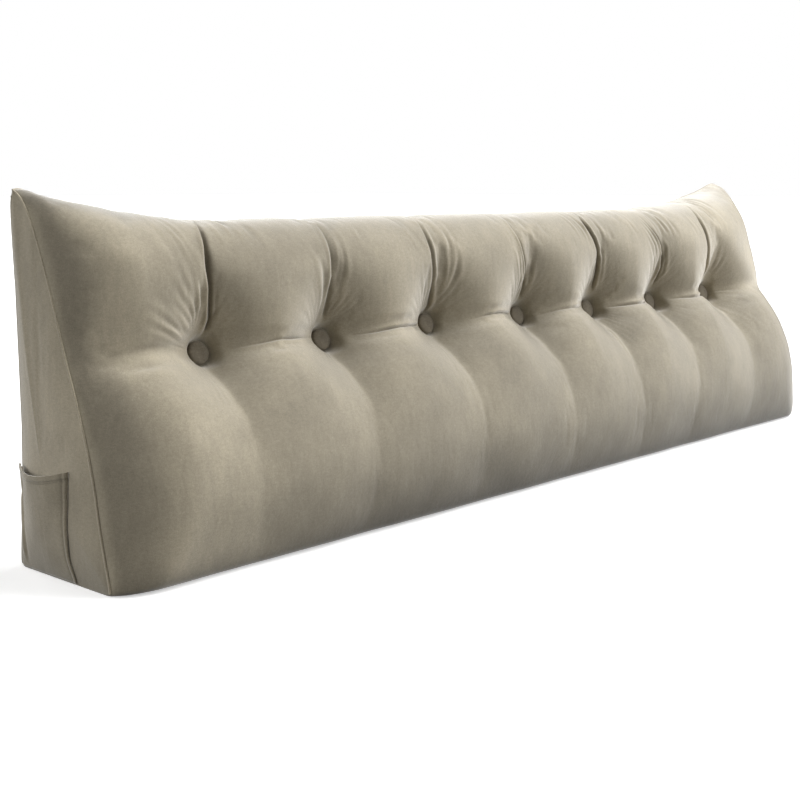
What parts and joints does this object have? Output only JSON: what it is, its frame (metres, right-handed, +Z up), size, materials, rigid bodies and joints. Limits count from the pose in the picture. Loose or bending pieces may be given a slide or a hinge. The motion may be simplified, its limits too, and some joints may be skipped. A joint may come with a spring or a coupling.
{
  "type": "headboard reading pillow",
  "caption": "Long wedge-shaped backrest cushion for the head of a bed, velvet covered, with a button-tufted front and an open side pocket.",
  "frame": {"origin": "middle of the whole part's box, at the height of the surface that the base rests on", "axes": "+X along the pillow, away from the end with the pocket; +Y out of the flat back, towards the headboard; +Z up"},
  "size_m": [1.8256, 0.2565, 0.499],
  "materials": {
    "cover": "short-pile velvet, warm grey beige, matt with a pale sheen on the curves",
    "buttons": "the same velvet drawn tight over a domed button, darker",
    "pocket": "the same velvet as a single layer with a turned and stitched hem"
  },
  "bodies": {
    "root": {"cushion": "cover", "button_1": "buttons", "button_2": "buttons", "button_3": "buttons", "button_4": "buttons", "button_5": "buttons", "button_6": "buttons", "button_7": "buttons", "side_pocket": "pocket"}
  },
  "joints": []
}
